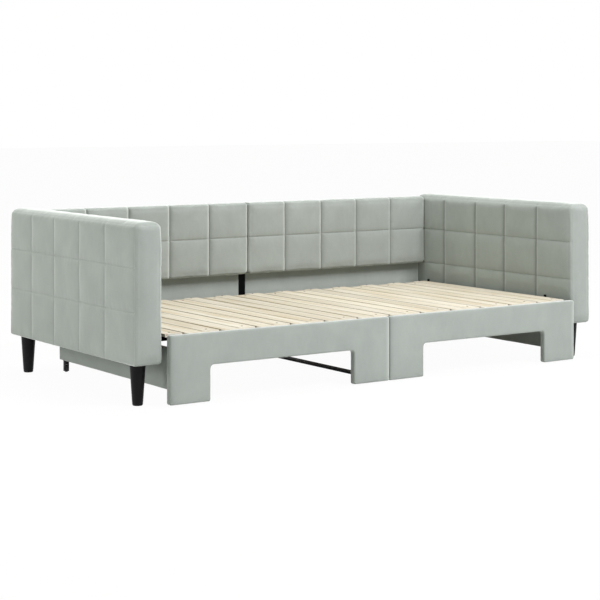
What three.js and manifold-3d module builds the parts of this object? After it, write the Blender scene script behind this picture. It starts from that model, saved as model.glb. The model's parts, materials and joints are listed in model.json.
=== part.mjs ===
// A trundle bed: an upholstered daybed on tapered legs, with a slatted bed that rolls out from
// under it. Its slats lie between the slats of the daybed, so both share one deck.
// Millimetres. +X is the bed's right, +Y its back and +Z up; the floor is z = 0.
// Sizes along Y are counted from the front faces of the arms.
import * as THREE from "three";
import { RoundedBoxGeometry } from "three/addons/geometries/RoundedBoxGeometry.js";
import { mergeVertices } from "three/addons/utils/BufferGeometryUtils.js";
import Module from "manifold-3d";

const wasm = await Module();
wasm.setup();

// ---- Clearances ----
const touch = 0.3; // between pieces that rest on or against each other
const seamGap = 1; // between the two halves of the back and of the trundle front
const parkGap = 4; // between the closed trundle and the rear rail that stops it
const wheelGap = 1; // beside each wheel in its fork
const boreGap = 0.5; // round each axle in its wheel

// ---- Arms ----
const bayLength = 2015; // between the arms: a 2 m mattress and a little room
const armThickness = 108;
const armDepth = 1067;
const armBottom = 150;
const armTop = 666;
const armEdge = 16; // rounding of the padded edges
const armPadding = 24; // over the top and the ends of the core
const coreWeb = 25;
const coreSideRoom = 18; // padding beside the base of the core
const coreBaseHeight = 25;

// ---- Legs ----
const legTopRadius = 28;
const legFootRadius = 18.5;
const legFootRounding = 2;
const legSideInset = 45; // axis from the outer face of the arm
const legEndInset = 70; // axis from the front and from the back of the arm

// ---- Deck ----
const deckTop = 257;
const daybedSlats = 13; // with one slat of the trundle between each two
const slatGap = 7; // between neighbouring slats, on average
const slatEndGap = 5.2; // between the outermost slats and the side rails
const slatThickness = 12;
const slatRounding = 2;
const trundleSlatShift = 1.75; // to the right of the middle between two daybed slats
const slatFront = 20;
const slatBackInset = 10; // from the rear face of the rear rail

// ---- Steel frame of the daybed ----
const sideRailWidth = 18;
const beamHeight = 16;
const beamFront = 45;
const beamDepth = 40;
const rearRailDepth = 35;
const rearRailGap = 18; // in front of the back cushion
const rearRailHeight = 30;

// ---- Centre support ----
const supportWidth = 32;
const supportTube = 32; // front to back, in front
const floorBarHeight = 9;
const postDepth = 10; // flat post between the back boards
const supportBracketHeight = 20;

// ---- Back ----
const backBoardThickness = 9;
const backBoardDrop = 52; // below the deck
const backBoardSideInset = 5; // below the cushion, from the inner face of the arm
const backBoardTopDrop = 6; // below the top of the cushion
const backPadDepth = 52.7;
const backPadRounding = 12;
const backRearInset = 2; // from the rear face of the arm
const backTopDrop = 4; // below the tops of the arms
const backPadRise = 84; // underside of the cushion above the deck

// ---- Trundle front ----
const panelThickness = 29;
const panelProud = 35; // front face ahead of the arms
const panelEndGap = 17.5; // between the front and each arm
const panelBottom = 5;
const panelLegWidth = 172;
const panelRailHeight = 116; // above the cut-outs
const panelCutRounding = 15;
const panelCornerRounding = 8;
const panelBevel = 5;
const ledgerDepth = 32;
const ledgerHeight = 24;

// ---- Trundle sides and rear ----
const sideBoardThickness = 29;
const sideBoardInset = 34; // from the end of the front panel
const sideBoardDrop = 30.7; // below the side rails and the front beam
const sideBoardEdge = 4;
const rearBoardThickness = 25;
const rearBoardHeight = 145;
const rearCleatDepth = 30;
const rearCleatHeight = 24;

// ---- Casters ----
const casterHeight = 48;
const wheelRadius = 15;
const wheelWidth = 10;
const wheelEdge = 2;
const axleRadius = 3;
const forkCheek = 2.5;
const forkLength = 24;
const forkRoof = 2; // above the wheel
const casterPlateLength = 38;
const casterPlateWidth = 27;
const casterPlateThickness = 3;
const casterEndRoom = 15; // from the end of the side board
const casterFlangeTop = 140; // of the plates that hold the middle casters
const middleCasterGap = 40.5; // beside the centre support

// ---- Places worked out from the sizes ----
const bayHalf = bayLength / 2;
const armX = bayHalf + armThickness / 2;
const supportTop = deckTop - slatThickness - touch; // top of every rail that carries slats
const sideRailX = bayHalf - touch - sideRailWidth / 2;
const beamHalf = bayHalf - touch - sideRailWidth - touch;
const beamBottom = supportTop - beamHeight;
const backTop = armTop - backTopDrop;
const backPadBottom = deckTop + backPadRise;
const backRear = armDepth - backRearInset;
const backBoardFront = backRear - backBoardThickness;
const backPadRear = backBoardFront - touch;
const backPadFace = backPadRear - backPadDepth;
const rearRailBack = backPadFace - rearRailGap;
const rearRailFront = rearRailBack - rearRailDepth;
const slatsHalf = bayHalf - touch - sideRailWidth - slatEndGap;
const slatStep = (2 * slatsHalf + slatGap) / (2 * daybedSlats - 1); // to the trundle's slat beside it
const slatWidth = slatStep - slatGap;
const slatZ = deckTop - slatThickness / 2;
const slatBack = rearRailBack - slatBackInset;
const panelLength = bayHalf - panelEndGap; // of each half
const panelFace = -panelProud;
const panelRear = panelFace + panelThickness;
const sideBoardBottom = casterHeight;
const sideBoardTop = beamBottom - sideBoardDrop;
const sideBoardOuter = panelLength - sideBoardInset;
const sideBoardX = sideBoardOuter - sideBoardThickness / 2;
const sideBoardFront = panelRear + touch;
const sideBoardRear = rearRailFront - parkGap;
const trundleInner = sideBoardOuter - sideBoardThickness - touch;
const rearBoardFront = sideBoardRear - rearBoardThickness;
const trundleSlatFront = panelRear + touch;
const middle = (armDepth + panelFace) / 2; // half way from the trundle front to the arms' rear

// ---- Materials ----
function material(color, roughness, metalness = 0) {
  return new THREE.MeshStandardMaterial({ color, roughness, metalness });
}
const velvet = material("#a7afa6", 0.9);
const pine = material("#ecdcb8", 0.6);
const board = material("#b49a74", 0.8);
const blackSteel = material("#17181a", 0.5, 0.6);
const blackPlastic = material("#1b1b1c", 0.45);
const wheelRubber = material("#2b2c2d", 0.8);

// ---- Geometry helpers ----
// A block from its lowest to its highest corner.
function block(x0, x1, y0, y1, z0, z1) {
  const box = new THREE.BoxGeometry(x1 - x0, y1 - y0, z1 - z0);
  return box.translate((x0 + x1) / 2, (y0 + y1) / 2, (z0 + z1) / 2);
}

// A block with rounded edges, centred on its own origin.
function softBlock(x, y, z, rounding) {
  return new RoundedBoxGeometry(x, y, z, 3, rounding);
}

// A closed outline through corners given as [x, y, rounding].
function outline(corners) {
  const shape = new THREE.Shape();
  const count = corners.length;
  corners.forEach(([x, y, rounding], i) => {
    const corner = new THREE.Vector2(x, y);
    const before = new THREE.Vector2(...corners[(i + count - 1) % count]);
    const after = new THREE.Vector2(...corners[(i + 1) % count]);
    const start = before.sub(corner).setLength(rounding).add(corner);
    const end = after.sub(corner).setLength(rounding).add(corner);
    if (i === 0) shape.moveTo(start.x, start.y);
    else shape.lineTo(start.x, start.y);
    if (rounding > 0) shape.quadraticCurveTo(x, y, end.x, end.y);
  });
  shape.closePath();
  return shape;
}

// An outline drawn in X and Z, pushed back along Y from y0 to y1.
function extrudeBack(shape, y0, y1, bevel = 0) {
  const geometry = new THREE.ExtrudeGeometry(shape, {
    depth: y1 - y0 - 2 * bevel,
    curveSegments: 4,
    bevelEnabled: bevel > 0,
    bevelSize: bevel,
    bevelOffset: -bevel,
    bevelThickness: bevel,
    bevelSegments: 2,
  });
  return geometry.rotateX(Math.PI / 2).translate(0, y1 - bevel, 0);
}

// A geometry as a manifold-3d solid.
function solid(geometry) {
  const bare = geometry.index ? geometry.toNonIndexed() : geometry.clone();
  bare.deleteAttribute("normal");
  bare.deleteAttribute("uv");
  const merged = mergeVertices(bare, 1e-3);
  const vertProperties = new Float32Array(merged.attributes.position.array);
  const triVerts = new Uint32Array(merged.index.array);
  return new wasm.Manifold(new wasm.Mesh({ numProp: 3, vertProperties, triVerts }));
}

// A manifold-3d solid as a geometry.
function geometryOf(made) {
  const mesh = made.getMesh();
  const geometry = new THREE.BufferGeometry();
  geometry.setAttribute("position", new THREE.BufferAttribute(mesh.vertProperties, 3));
  geometry.setIndex(new THREE.BufferAttribute(mesh.triVerts, 1));
  geometry.computeVertexNormals();
  return geometry;
}

function joined(...geometries) {
  return geometryOf(geometries.map(solid).reduce((sum, next) => sum.add(next)));
}

function cut(geometry, ...tools) {
  return geometryOf(tools.map(solid).reduce((rest, tool) => rest.subtract(tool), solid(geometry)));
}

// ---- The object and its two groups ----
const bed = new THREE.Group();
bed.position.y = -middle;
const daybed = new THREE.Group();
const trundle = new THREE.Group();
bed.add(daybed, trundle);

function place(group, name, geometry, finish, x = 0, y = 0, z = 0) {
  const mesh = new THREE.Mesh(geometry, finish);
  mesh.name = name;
  mesh.position.set(x, y, z);
  group.add(mesh);
}

const sides = [
  ["left", -1],
  ["right", 1],
];

// ---- Arms: a T-shaped board core under a padded cover that is open below ----
function coreShape(room) {
  const web = coreWeb / 2 + room;
  const base = armThickness / 2 - coreSideRoom + room;
  const shoulder = armBottom + coreBaseHeight + room;
  const top = armTop - armPadding + room;
  const bottom = armBottom - room;
  return outline([
    [-base, bottom, 0],
    [base, bottom, 0],
    [base, shoulder, 0],
    [web, shoulder, 0],
    [web, top, 0],
    [-web, top, 0],
    [-web, shoulder, 0],
    [-base, shoulder, 0],
  ]);
}

function armCore() {
  return extrudeBack(coreShape(0), armPadding, armDepth - armPadding);
}

function armCover() {
  const height = armTop - armBottom;
  const padding = softBlock(armThickness, armDepth, height, armEdge);
  padding.translate(0, armDepth / 2, armBottom + height / 2);
  const room = extrudeBack(coreShape(touch), armPadding - touch, armDepth - armPadding + touch);
  return cut(padding, room);
}

for (const [side, sign] of sides) {
  place(daybed, `arm_core_${side}`, armCore(), board, sign * armX);
  place(daybed, `arm_cover_${side}`, armCover(), velvet, sign * armX);
}

// ---- Tapered legs ----
function leg() {
  const top = armBottom - touch;
  const profile = [
    new THREE.Vector2(0, 0),
    new THREE.Vector2(legFootRadius - legFootRounding, 0),
    new THREE.Vector2(legFootRadius, legFootRounding),
    new THREE.Vector2(legTopRadius, top),
    new THREE.Vector2(0, top),
  ];
  return new THREE.LatheGeometry(profile, 32).rotateX(Math.PI / 2);
}

const legX = bayHalf + armThickness - legSideInset;
for (const [side, sign] of sides) {
  place(daybed, `leg_front_${side}`, leg(), blackPlastic, sign * legX, legEndInset);
  place(daybed, `leg_rear_${side}`, leg(), blackPlastic, sign * legX, armDepth - legEndInset);
}

// ---- Steel frame under the daybed slats ----
function beam(halfLength, front, back, height) {
  return block(-halfLength, halfLength, front, back, supportTop - height, supportTop);
}

for (const [side, sign] of sides) {
  const rail = beam(sideRailWidth / 2, beamFront, rearRailBack, beamHeight);
  place(daybed, `side_rail_${side}`, rail, blackSteel, sign * sideRailX);
}
const frontBeam = beam(beamHalf, beamFront, beamFront + beamDepth, beamHeight);
const rearRail = beam(beamHalf, rearRailFront, rearRailBack, rearRailHeight);
place(daybed, "front_beam", frontBeam, blackSteel);
place(daybed, "rear_rail", rearRail, blackSteel);

// ---- Centre support: front leg, bar on the floor, rear post and the bracket of the rear rail ----
function centreSupport() {
  const half = supportWidth / 2;
  const frontFace = beamFront + (beamDepth - supportTube) / 2;
  const postFront = backRear - postDepth;
  const postTop = backPadBottom - touch;
  const bracketTop = supportTop - rearRailHeight - touch;
  const bracketBottom = bracketTop - supportBracketHeight;
  return joined(
    block(-half, half, frontFace, frontFace + supportTube, 0, beamBottom - touch),
    block(-half, half, frontFace, backRear, 0, floorBarHeight),
    block(-half, half, postFront, backRear, 0, postTop),
    block(-half, half, rearRailFront, backRear, bracketBottom, bracketTop),
  );
}
place(daybed, "centre_support", centreSupport(), blackSteel);

// ---- Back: a covered board in two halves, each with a cushion on its upper part ----
function backBoard(sign) {
  const inner = supportWidth / 2 + seamGap;
  const lowerEnd = bayHalf - backBoardSideInset;
  const upperInner = seamGap / 2;
  const upperEnd = bayHalf - touch;
  const bottom = deckTop - backBoardDrop;
  const top = backTop - backBoardTopDrop;
  const corners = [
    [inner, bottom],
    [lowerEnd, bottom],
    [lowerEnd, backPadBottom],
    [upperEnd, backPadBottom],
    [upperEnd, top],
    [upperInner, top],
    [upperInner, backPadBottom],
    [inner, backPadBottom],
  ];
  const shape = outline(corners.map(([x, z]) => [sign * x, z, 0]));
  return extrudeBack(shape, backBoardFront, backRear);
}

function backCushion() {
  const length = bayHalf - touch - seamGap / 2;
  return softBlock(length, backPadDepth, backTop - backPadBottom, backPadRounding);
}

const backCushionX = (bayHalf - touch + seamGap / 2) / 2;
const backCushionY = (backPadFace + backPadRear) / 2;
const backCushionZ = (backPadBottom + backTop) / 2;
for (const [side, sign] of sides) {
  const x = sign * backCushionX;
  place(daybed, `back_board_${side}`, backBoard(sign), velvet);
  place(daybed, `back_cushion_${side}`, backCushion(), velvet, x, backCushionY, backCushionZ);
}

// ---- Slats: those of the trundle lie in the gaps between those of the daybed ----
function slat(front, back) {
  const half = slatWidth / 2;
  const rise = slatThickness / 2;
  const shape = outline([
    [-half, -rise, slatRounding],
    [half, -rise, slatRounding],
    [half, rise, slatRounding],
    [-half, rise, slatRounding],
  ]);
  return extrudeBack(shape, front, back);
}

const firstSlatX = (1 - daybedSlats) * slatStep;
for (let i = 0; i < daybedSlats; i++) {
  const x = firstSlatX + 2 * i * slatStep;
  place(daybed, `slat_${i + 1}`, slat(slatFront, slatBack), pine, x, 0, slatZ);
}
for (let i = 0; i < daybedSlats - 1; i++) {
  const x = firstSlatX + (2 * i + 1) * slatStep + trundleSlatShift;
  const geometry = slat(trundleSlatFront, sideBoardRear);
  place(trundle, `trundle_slat_${i + 1}`, geometry, pine, x, 0, slatZ);
}

// ---- Trundle front: two covered boards, each cut out below between two broad feet ----
function frontPanel() {
  const half = (panelLength - seamGap / 2) / 2;
  const cutHalf = half - panelLegWidth;
  const cutTop = deckTop - panelRailHeight;
  const shape = outline([
    [-half, panelBottom, panelCornerRounding],
    [-cutHalf, panelBottom, panelCornerRounding],
    [-cutHalf, cutTop, panelCutRounding],
    [cutHalf, cutTop, panelCutRounding],
    [cutHalf, panelBottom, panelCornerRounding],
    [half, panelBottom, panelCornerRounding],
    [half, deckTop, panelCornerRounding],
    [-half, deckTop, panelCornerRounding],
  ]);
  return extrudeBack(shape, panelFace, panelRear, panelBevel);
}

const panelX = (panelLength + seamGap / 2) / 2;
for (const [side, sign] of sides) {
  place(trundle, `front_panel_${side}`, frontPanel(), velvet, sign * panelX);
}
const ledger = beam(trundleInner, panelRear + touch, panelRear + touch + ledgerDepth, ledgerHeight);
place(trundle, "front_ledger", ledger, board);

// ---- Trundle sides and rear ----
for (const [side, sign] of sides) {
  const length = sideBoardRear - sideBoardFront;
  const height = sideBoardTop - sideBoardBottom;
  const geometry = softBlock(sideBoardThickness, length, height, sideBoardEdge);
  const y = (sideBoardFront + sideBoardRear) / 2;
  const z = sideBoardBottom + height / 2;
  place(trundle, `side_board_${side}`, geometry, velvet, sign * sideBoardX, y, z);
}

function rearBoard() {
  const cleatFront = rearBoardFront - rearCleatDepth;
  const cleatBottom = supportTop - rearCleatHeight;
  const bottom = supportTop - rearBoardHeight;
  return joined(
    block(-trundleInner, trundleInner, rearBoardFront, sideBoardRear, bottom, supportTop),
    block(-trundleInner, trundleInner, cleatFront, rearBoardFront, cleatBottom, supportTop),
  );
}
place(trundle, "rear_board", rearBoard(), board);

// ---- Casters: a fork with its axle, and a wheel ----
const casterTop = sideBoardBottom - touch;

// The axle is at y = 0. A flange at the front or at the rear holds a fork to an upright board.
function casterFork(flange) {
  const cheekInner = wheelWidth / 2 + wheelGap;
  const cheekOuter = cheekInner + forkCheek;
  const plateHalf = casterPlateWidth / 2;
  const plateBottom = casterTop - casterPlateThickness;
  const plateEnd = casterPlateLength / 2;
  const roofBottom = 2 * wheelRadius + forkRoof;
  const cheekBottom = wheelRadius - axleRadius * 2;
  const half = forkLength / 2;
  const axle = new THREE.CylinderGeometry(axleRadius, axleRadius, 2 * cheekOuter, 24);
  axle.rotateZ(Math.PI / 2).translate(0, 0, wheelRadius);
  const pieces = [
    block(-plateHalf, plateHalf, -plateEnd, plateEnd, plateBottom, casterTop),
    block(-cheekOuter, cheekOuter, -half, half, roofBottom, plateBottom),
    block(-cheekOuter, -cheekInner, -half, half, cheekBottom, roofBottom),
    block(cheekInner, cheekOuter, -half, half, cheekBottom, roofBottom),
    axle,
  ];
  if (flange) {
    const outer = flange * plateEnd;
    const inner = outer - flange * casterPlateThickness;
    const [front, back] = [Math.min(outer, inner), Math.max(outer, inner)];
    pieces.push(block(-plateHalf, plateHalf, front, back, plateBottom, casterFlangeTop));
  }
  return joined(...pieces);
}

function casterWheel() {
  const half = wheelWidth / 2;
  const bore = axleRadius + boreGap;
  const profile = [
    new THREE.Vector2(bore, -half),
    new THREE.Vector2(wheelRadius - wheelEdge, -half),
    new THREE.Vector2(wheelRadius, -half + wheelEdge),
    new THREE.Vector2(wheelRadius, half - wheelEdge),
    new THREE.Vector2(wheelRadius - wheelEdge, half),
    new THREE.Vector2(bore, half),
    new THREE.Vector2(bore, -half),
  ];
  return new THREE.LatheGeometry(profile, 40).rotateZ(Math.PI / 2);
}

const casterEndInset = casterPlateLength / 2 + casterEndRoom; // axle from the end of the board
const middleCasterX = supportWidth / 2 + middleCasterGap + casterPlateWidth / 2;
const frontAxleY = sideBoardFront + casterEndInset;
const rearAxleY = sideBoardRear - casterEndInset;
const middleFrontAxleY = panelRear + touch + casterPlateLength / 2;
const middleRearAxleY = rearBoardFront - touch - casterPlateLength / 2;
const casters = [
  ["front_left", -sideBoardX, frontAxleY],
  ["front_middle", middleCasterX, middleFrontAxleY, -1],
  ["front_right", sideBoardX, frontAxleY],
  ["rear_left", -sideBoardX, rearAxleY],
  ["rear_middle", middleCasterX, middleRearAxleY, 1],
  ["rear_right", sideBoardX, rearAxleY],
];
for (const [where, x, y, flange] of casters) {
  place(trundle, `caster_fork_${where}`, casterFork(flange), blackPlastic, x, y);
  place(trundle, `caster_wheel_${where}`, casterWheel(), wheelRubber, x, y, wheelRadius);
}

export default bed;
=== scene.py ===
"""The looks of a trundle bed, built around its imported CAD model. All lengths are in metres."""
import json
import math

import bpy
import numpy as np
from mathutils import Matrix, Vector
from mathutils.geometry import delaunay_2d_cdt


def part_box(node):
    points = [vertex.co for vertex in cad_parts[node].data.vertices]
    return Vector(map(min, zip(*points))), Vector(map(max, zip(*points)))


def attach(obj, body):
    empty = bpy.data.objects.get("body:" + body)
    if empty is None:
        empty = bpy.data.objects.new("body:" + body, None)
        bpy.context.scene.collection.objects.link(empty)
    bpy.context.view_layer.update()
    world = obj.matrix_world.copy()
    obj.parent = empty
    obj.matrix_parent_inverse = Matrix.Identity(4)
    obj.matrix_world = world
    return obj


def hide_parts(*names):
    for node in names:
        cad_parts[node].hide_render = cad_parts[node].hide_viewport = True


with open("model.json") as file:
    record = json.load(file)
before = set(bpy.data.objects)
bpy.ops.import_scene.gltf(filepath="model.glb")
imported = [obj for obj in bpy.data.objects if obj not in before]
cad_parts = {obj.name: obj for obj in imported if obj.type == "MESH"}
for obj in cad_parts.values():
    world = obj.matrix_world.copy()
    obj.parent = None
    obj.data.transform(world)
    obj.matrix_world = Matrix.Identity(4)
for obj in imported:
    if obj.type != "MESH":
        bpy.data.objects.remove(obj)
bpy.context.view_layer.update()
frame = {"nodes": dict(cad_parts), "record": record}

SIDES = ("left", "right")
ARM_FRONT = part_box("arm_cover_left")[0].y
DECK_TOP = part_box("slat_1")[1].z


def add_object(name, data):
    made = bpy.data.objects.new(name, data)
    bpy.context.scene.collection.objects.link(made)
    return made


# ---- Camera: level, at standing height to the left of the bed, with upright verticals ----
CAMERA_PLACE = (-3.933, -5.680, 1.0606)
CAMERA_TURN = math.radians(-34.34)  # from straight back, towards the bed's right
CAMERA_LENS = 98.22  # mm, on a sensor 36 mm wide
CAMERA_SHIFT = -0.3119  # down, so that the verticals stay upright


def add_camera():
    data = bpy.data.cameras.new("camera")
    data.lens = CAMERA_LENS
    data.sensor_width = 36
    data.shift_y = CAMERA_SHIFT
    data.clip_end = 100
    camera = add_object("camera", data)
    camera.location = CAMERA_PLACE
    camera.rotation_euler = (math.pi / 2, 0, CAMERA_TURN)
    bpy.context.scene.camera = camera


# ---- Node materials ----
def linear(code):
    """An sRGB colour such as "#a0b0c0" as linear red, green, blue and alpha."""
    parts = [int(code[i : i + 2], 16) / 255 for i in (1, 3, 5)]
    return [c / 12.92 if c <= 0.04045 else ((c + 0.055) / 1.055) ** 2.4 for c in parts] + [1]


class Nodes:
    """A node tree in the making. Most methods add one node and return its first output."""

    def __init__(self, owner):
        owner.use_nodes = True
        self.tree = owner.node_tree

    def node(self, kind, inputs=None, **settings):
        made = self.tree.nodes.new(kind)
        for name, value in settings.items():
            setattr(made, name, value)
        for name, value in (inputs or {}).items():
            self.fill(made.inputs[name], value)
        return made

    def fill(self, socket, value):
        """Gives a socket a link, a number, or a colour such as "#a0b0c0"."""
        if isinstance(value, bpy.types.NodeSocket):
            self.tree.links.new(value, socket)
        else:
            socket.default_value = linear(value) if isinstance(value, str) else value

    def math(self, operation, a, b=0.0):
        return self.node("ShaderNodeMath", {0: a, 1: b}, operation=operation).outputs[0]

    def product(self, first, *others):
        for other in others:
            first = self.math("MULTIPLY", first, other)
        return first

    def spread(self, value, low, high, start=0.0, end=1.0):
        """A value that goes from start to end, as one from low to high."""
        inputs = {"Value": value, "From Min": start, "From Max": end, "To Min": low, "To Max": high}
        return self.node("ShaderNodeMapRange", inputs).outputs["Result"]

    def mix(self, a, b, factor):
        return self.node("ShaderNodeMix", {0: factor, 6: a, 7: b}, data_type="RGBA").outputs[2]

    def seen_directly(self):
        """1 for rays from the camera, from gloss and through glass, else 0."""
        path = self.node("ShaderNodeLightPath").outputs
        seen = self.math("MAXIMUM", path["Is Camera Ray"], path["Is Glossy Ray"])
        return self.math("MAXIMUM", seen, path["Is Transmission Ray"])


class Shader(Nodes):
    """The nodes of a new material."""

    def __init__(self, name):
        self.material = bpy.data.materials.new(name)
        super().__init__(self.material)
        self.surface = self.tree.nodes["Principled BSDF"]
        self.place = self.node("ShaderNodeTexCoord").outputs["Object"]

    def set(self, **values):
        """Fills sockets of the surface shader, named with _ for a space. Returns the material."""
        for name, value in values.items():
            self.fill(self.surface.inputs[name.replace("_", " ")], value)
        return self.material

    def attribute(self, name):
        return self.node("ShaderNodeAttribute", attribute_name=name).outputs["Fac"]

    def split(self, vector):
        """The X, Y and Z of a vector."""
        return self.node("ShaderNodeSeparateXYZ", {"Vector": vector}).outputs

    def stretched(self, scale, turn=(0, 0, 0), at=None):
        inputs = {"Vector": at or self.place, "Scale": scale, "Rotation": turn}
        return self.node("ShaderNodeMapping", inputs).outputs["Vector"]

    def noise(self, scale, detail=2.0, roughness=0.5, distortion=0.0, at=None):
        inputs = {"Vector": at or self.place, "Scale": scale, "Detail": detail}
        inputs |= {"Roughness": roughness, "Distortion": distortion}
        return self.node("ShaderNodeTexNoise", inputs).outputs["Fac"]

    def cells(self, scale, at=None, output="Distance"):
        inputs = {"Vector": at or self.place, "Scale": scale}
        return self.node("ShaderNodeTexVoronoi", inputs).outputs[output]

    def scaled(self, colour, factor):
        inputs = {0: linear(colour)[:3] if isinstance(colour, str) else colour, "Scale": factor}
        return self.node("ShaderNodeVectorMath", inputs, operation="SCALE").outputs[0]

    def bump(self, height, distance, strength, under=None):
        inputs = {"Height": height, "Distance": distance, "Strength": strength}
        if under is not None:
            inputs["Normal"] = under
        return self.node("ShaderNodeBump", inputs).outputs["Normal"]


STITCH = 0.004  # length of a stitch and its gap


def velvet():
    """Short-pile velvet: brushed patches, fine pile and a bright sheen, partly painted sheen in the
    colour where the surface turns away from the view. At the seams it has stitches, painted shade in the
    creases, and a painted highlight and painted shade beside them."""
    s = Shader("velvet")
    patches = s.noise(4.5, 2.0, 0.55, 0.8)
    brushed = s.noise(1.0, 3.0, 0.6, 0.5, s.stretched((13, 13, 9), (0.5, 0.3, 0.3)))
    strokes = s.noise(1.0, 3.0, 0.6, 0.3, s.stretched((50, 50, 22), (0.6, 0.35, 0.2)))
    pile_and_painted_light = s.noise(900.0, 2.0, 0.7)
    crease_shade = s.attribute("crease_shade")
    tone = s.product(
        s.spread(patches, 0.9, 1.1),
        s.spread(strokes, 0.965, 1.035),
        s.spread(brushed, 0.92, 1.08),
        s.spread(pile_and_painted_light, 0.88, 1.12),
        # painted shade in the seams' creases, then painted highlight and shade beside the seams, at the
        # boards' ends and low on the back boards
        s.spread(crease_shade, 1.0, 0.82),
        s.math("ADD", s.attribute("painted_light_shade"), 1.0),
    )
    waves = s.math("SINE", s.product(s.attribute("along"), 2 * math.pi / STITCH))
    thread = s.product(s.math("GREATER_THAN", crease_shade, 0.72), s.spread(waves, 0, 1, -0.6, 0))
    colour = s.mix(s.scaled("#959b96", tone), "#b4bab3", s.product(thread, 0.5))
    # painted sheen: the colour turns pale where the surface turns away from the view
    turned_away = s.node("ShaderNodeLayerWeight", {"Blend": 0.5}).outputs["Facing"]
    painted_sheen = s.product(s.math("POWER", turned_away, 5.0), 0.9)
    brush = s.bump(brushed, 0.003, 0.3, s.bump(patches, 0.004, 0.2))
    return s.set(
        # the painted sheen's pale colour
        Base_Color=s.mix(colour, "#f0f4f0", painted_sheen),
        Roughness=s.spread(patches, 0.8, 0.95),
        Specular_IOR_Level=0.1,
        Sheen_Weight=0.8,
        Sheen_Roughness=0.25,
        Sheen_Tint=(1, 1, 1, 1),
        Normal=s.bump(thread, 0.0006, 0.8, s.bump(pile_and_painted_light, 0.0005, 0.35, brush)),
    )


SLAT_PITCH = (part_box("slat_2")[0].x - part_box("slat_1")[0].x) / 2  # to the trundle's slat beside it
PAINTED_END_LIGHT = (-0.498, -0.488)  # y where the painted highlight on the slats' sides at their front ends is full, and where it is gone


def pine():
    """Planed pine, with its grain along each slat, a tone of its own and a few small knots.
    The slats' narrow sides get painted shade, and their front ends, with the sides just behind
    them, a painted highlight."""
    s = Shader("pine")
    x, y, z = s.split(s.place)
    number = s.math("ROUND", s.math("DIVIDE", x, SLAT_PITCH))
    own = s.node("ShaderNodeTexWhiteNoise", {"W": number}, noise_dimensions="1D").outputs["Value"]
    along = s.math("ADD", y, s.product(own, 7.0))
    shifted = s.node("ShaderNodeCombineXYZ", {"X": x, "Y": along, "Z": z}).outputs[0]
    rings = s.noise(1.0, 4.0, 0.55, 0.8, s.stretched((95, 2.2, 95), at=shifted))
    fibre = s.noise(1.0, 3.0, 0.6, 0.0, s.stretched((700, 12, 700), at=shifted))
    wood = s.mix("#cac5b6", "#ab9873", s.spread(rings, 0.0, 1.0, 0.4, 0.76))
    wood = s.scaled(s.scaled(wood, s.spread(own, 0.93, 1.09)), s.spread(fibre, 0.95, 1.05))
    towards = s.split(s.node("ShaderNodeNewGeometry").outputs["True Normal"])
    side_faces = s.spread(s.math("ABSOLUTE", towards["X"]), 0.0, 1.0, 0.3, 0.8)
    # painted shade on the slats' narrow sides, where the gaps between them lie in shade
    wood = s.mix(wood, s.scaled(wood, 0.64), side_faces)
    # painted highlight on the front ends, and on the shaded sides just behind them
    end_faces = s.spread(s.math("ABSOLUTE", towards["Y"]), 0.0, 0.8, 0.4, 0.9)
    near_end = s.product(side_faces, s.spread(y, 1.0, 0.0, *PAINTED_END_LIGHT))
    wood = s.mix(wood, "#e6e4dc", s.math("MAXIMUM", end_faces, near_end))
    knots = s.cells(1.0, s.stretched((11, 4.5, 11), at=shifted))
    spots = s.spread(knots, 1.0, 0.0, 0.03, 0.075)
    wood = s.mix(wood, "#a97f4f", s.product(spots, 0.7))
    return s.set(
        Base_Color=wood,
        Roughness=s.spread(rings, 0.5, 0.7),
        Specular_IOR_Level=0.3,
        Normal=s.bump(fibre, 0.0003, 0.5, s.bump(rings, 0.0006, 0.4)),
    )


def raw_board():
    """Sawn plywood: speckled, with faint long fibres."""
    s = Shader("raw_board")
    chips = s.cells(260.0, s.stretched((1, 0.35, 1)), "Color")
    shade = s.node("ShaderNodeSeparateColor", {"Color": chips}).outputs["Red"]
    cloud = s.noise(12.0, 3.0)
    wood = s.mix("#bfa77c", "#d8c7a2", shade)
    return s.set(
        Base_Color=s.scaled(wood, s.spread(cloud, 0.88, 1.1)),
        Roughness=s.spread(shade, 0.7, 0.9),
        Normal=s.bump(shade, 0.0004, 0.5),
    )


def powder_coat():
    """Black powder-coated steel with its fine orange peel."""
    s = Shader("powder_coat")
    peel = s.noise(420.0, 2.0)
    dust = s.noise(9.0, 4.0)
    return s.set(
        Base_Color=s.mix("#050607", "#101112", s.spread(dust, 0, 1, 0.4, 0.75)),
        Roughness=s.spread(dust, 0.42, 0.6),
        Specular_IOR_Level=0.05,
        Normal=s.bump(peel, 0.0004, 0.45),
    )


def black_plastic():
    """Satin black plastic, moulded with a faint leather grain."""
    s = Shader("satin_plastic")
    grain = s.cells(900.0)
    haze = s.noise(16.0, 4.0)
    return s.set(
        Base_Color=s.mix("#09090a", "#131314", s.spread(haze, 0, 1, 0.35, 0.75)),
        Roughness=s.spread(haze, 0.34, 0.5),
        Specular_IOR_Level=0.14,
        Normal=s.bump(grain, 0.00025, 0.5),
    )


def rubber():
    s = Shader("rubber")
    scuffs = s.noise(120.0, 5.0, 0.7)
    return s.set(
        Base_Color=s.mix("#1c1d1e", "#3a3b3c", s.spread(scuffs, 0, 1, 0.5, 0.8)),
        Roughness=s.spread(scuffs, 0.6, 0.9),
        Normal=s.bump(scuffs, 0.0003, 0.4),
    )


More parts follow.
